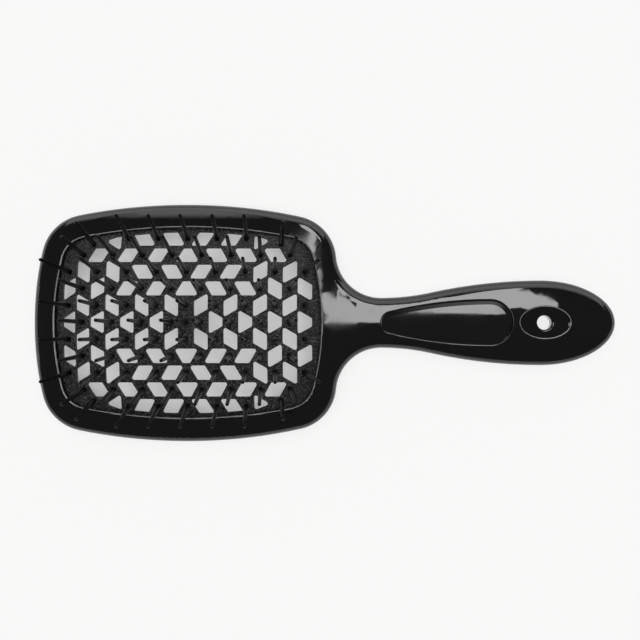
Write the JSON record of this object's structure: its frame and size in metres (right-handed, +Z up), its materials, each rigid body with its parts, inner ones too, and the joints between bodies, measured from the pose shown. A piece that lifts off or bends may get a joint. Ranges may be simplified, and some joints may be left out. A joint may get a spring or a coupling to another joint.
{
  "type": "vent brush",
  "caption": "See-through vent brush: a ring-shaped head with a domed pad of slanted vents and flexible pins, on a drop-shaped handle with an inlay plate and a hang hole.",
  "frame": {"origin": "under the middle of the brush's box, on the table that its back lies on", "axes": "+X from the head's tip to the handle's end, +Y across the head, +Z up through the pins"},
  "size_m": [0.215, 0.0878, 0.0339],
  "materials": {
    "frame": "polished",
    "inlay": "polished",
    "pad": "fine matte grain",
    "pins": "satin"
  },
  "bodies": {
    "frame": {"frame_handle": "frame", "handle_inlay": "inlay", "vent_pad": "pad"},
    "pin_row_01": {"pin_row_01": "pins"},
    "pin_ends_01": {"pin_ends_01": "pins"},
    "pin_row_02": {"pin_row_02": "pins"},
    "pin_ends_02": {"pin_ends_02": "pins"},
    "pin_row_03": {"pin_row_03": "pins"},
    "pin_ends_03": {"pin_ends_03": "pins"},
    "pin_row_04": {"pin_row_04": "pins"},
    "pin_ends_04": {"pin_ends_04": "pins"},
    "pin_row_05": {"pin_row_05": "pins"},
    "pin_ends_05": {"pin_ends_05": "pins"},
    "pin_row_06": {"pin_row_06": "pins"},
    "pin_ends_06": {"pin_ends_06": "pins"},
    "pin_row_07": {"pin_row_07": "pins"},
    "pin_ends_07": {"pin_ends_07": "pins"},
    "pin_row_08": {"pin_row_08": "pins"},
    "pin_ends_08": {"pin_ends_08": "pins"},
    "pin_row_09": {"pin_row_09": "pins"},
    "pin_ends_09": {"pin_ends_09": "pins"},
    "pin_row_10": {"pin_row_10": "pins"},
    "pin_ends_10": {"pin_ends_10": "pins"},
    "pin_row_11": {"pin_row_11": "pins"},
    "pin_ends_11": {"pin_ends_11": "pins"}
  },
  "joints": [
    {"name": "pin_row_01_flex", "type": "hinge", "parent": "frame", "child": "pin_row_01", "pos_m": [-0.0497, -0.03065, 0.0107], "axis": [1, 0, 0], "range_deg": [-12, 12], "stiffness_Nm_per_rad": 0.3},
    {"name": "pin_ends_01_flex", "type": "hinge", "parent": "frame", "child": "pin_ends_01", "pos_m": [-0.0497, -0.0286, 0.01144], "axis": [1, 0, 0], "range_deg": [-12, 12], "stiffness_Nm_per_rad": 0.12},
    {"name": "pin_row_02_flex", "type": "hinge", "parent": "frame", "child": "pin_row_02", "pos_m": [-0.0497, -0.02452, 0.01279], "axis": [1, 0, 0], "range_deg": [-12, 12], "stiffness_Nm_per_rad": 0.36},
    {"name": "pin_ends_02_flex", "type": "hinge", "parent": "frame", "child": "pin_ends_02", "pos_m": [-0.0497, -0.02452, 0.01227], "axis": [1, 0, 0], "range_deg": [-12, 12], "stiffness_Nm_per_rad": 0.12},
    {"name": "pin_row_03_flex", "type": "hinge", "parent": "frame", "child": "pin_row_03", "pos_m": [-0.0497, -0.01839, 0.01423], "axis": [1, 0, 0], "range_deg": [-12, 12], "stiffness_Nm_per_rad": 0.42},
    {"name": "pin_ends_03_flex", "type": "hinge", "parent": "frame", "child": "pin_ends_03", "pos_m": [-0.0497, -0.01839, 0.01175], "axis": [1, 0, 0], "range_deg": [-12, 12], "stiffness_Nm_per_rad": 0.12},
    {"name": "pin_row_04_flex", "type": "hinge", "parent": "frame", "child": "pin_row_04", "pos_m": [-0.0497, -0.01226, 0.0151], "axis": [1, 0, 0], "range_deg": [-12, 12], "stiffness_Nm_per_rad": 0.36},
    {"name": "pin_ends_04_flex", "type": "hinge", "parent": "frame", "child": "pin_ends_04", "pos_m": [-0.0497, -0.01226, 0.01458], "axis": [1, 0, 0], "range_deg": [-12, 12], "stiffness_Nm_per_rad": 0.12},
    {"name": "pin_row_05_flex", "type": "hinge", "parent": "frame", "child": "pin_row_05", "pos_m": [-0.0497, -0.00613, 0.01551], "axis": [1, 0, 0], "range_deg": [-12, 12], "stiffness_Nm_per_rad": 0.42},
    {"name": "pin_ends_05_flex", "type": "hinge", "parent": "frame", "child": "pin_ends_05", "pos_m": [-0.0497, -0.00613, 0.01303], "axis": [1, 0, 0], "range_deg": [-12, 12], "stiffness_Nm_per_rad": 0.12},
    {"name": "pin_row_06_flex", "type": "hinge", "parent": "frame", "child": "pin_row_06", "pos_m": [-0.0497, 0, 0.0156], "axis": [1, 0, 0], "range_deg": [-12, 12], "stiffness_Nm_per_rad": 0.42},
    {"name": "pin_ends_06_flex", "type": "hinge", "parent": "frame", "child": "pin_ends_06", "pos_m": [-0.0497, 0, 0.01507], "axis": [1, 0, 0], "range_deg": [-12, 12], "stiffness_Nm_per_rad": 0.12},
    {"name": "pin_row_07_flex", "type": "hinge", "parent": "frame", "child": "pin_row_07", "pos_m": [-0.0497, 0.00613, 0.01551], "axis": [1, 0, 0], "range_deg": [-12, 12], "stiffness_Nm_per_rad": 0.42},
    {"name": "pin_ends_07_flex", "type": "hinge", "parent": "frame", "child": "pin_ends_07", "pos_m": [-0.0497, 0.00613, 0.01303], "axis": [1, 0, 0], "range_deg": [-12, 12], "stiffness_Nm_per_rad": 0.12},
    {"name": "pin_row_08_flex", "type": "hinge", "parent": "frame", "child": "pin_row_08", "pos_m": [-0.0497, 0.01226, 0.0151], "axis": [1, 0, 0], "range_deg": [-12, 12], "stiffness_Nm_per_rad": 0.36},
    {"name": "pin_ends_08_flex", "type": "hinge", "parent": "frame", "child": "pin_ends_08", "pos_m": [-0.0497, 0.01226, 0.01458], "axis": [1, 0, 0], "range_deg": [-12, 12], "stiffness_Nm_per_rad": 0.12},
    {"name": "pin_row_09_flex", "type": "hinge", "parent": "frame", "child": "pin_row_09", "pos_m": [-0.0497, 0.01839, 0.01423], "axis": [1, 0, 0], "range_deg": [-12, 12], "stiffness_Nm_per_rad": 0.42},
    {"name": "pin_ends_09_flex", "type": "hinge", "parent": "frame", "child": "pin_ends_09", "pos_m": [-0.0497, 0.01839, 0.01175], "axis": [1, 0, 0], "range_deg": [-12, 12], "stiffness_Nm_per_rad": 0.12},
    {"name": "pin_row_10_flex", "type": "hinge", "parent": "frame", "child": "pin_row_10", "pos_m": [-0.0497, 0.02452, 0.01279], "axis": [1, 0, 0], "range_deg": [-12, 12], "stiffness_Nm_per_rad": 0.36},
    {"name": "pin_ends_10_flex", "type": "hinge", "parent": "frame", "child": "pin_ends_10", "pos_m": [-0.0497, 0.02452, 0.01227], "axis": [1, 0, 0], "range_deg": [-12, 12], "stiffness_Nm_per_rad": 0.12},
    {"name": "pin_row_11_flex", "type": "hinge", "parent": "frame", "child": "pin_row_11", "pos_m": [-0.0497, 0.03065, 0.0107], "axis": [1, 0, 0], "range_deg": [-12, 12], "stiffness_Nm_per_rad": 0.3},
    {"name": "pin_ends_11_flex", "type": "hinge", "parent": "frame", "child": "pin_ends_11", "pos_m": [-0.0497, 0.0286, 0.01144], "axis": [1, 0, 0], "range_deg": [-12, 12], "stiffness_Nm_per_rad": 0.12}
  ]
}
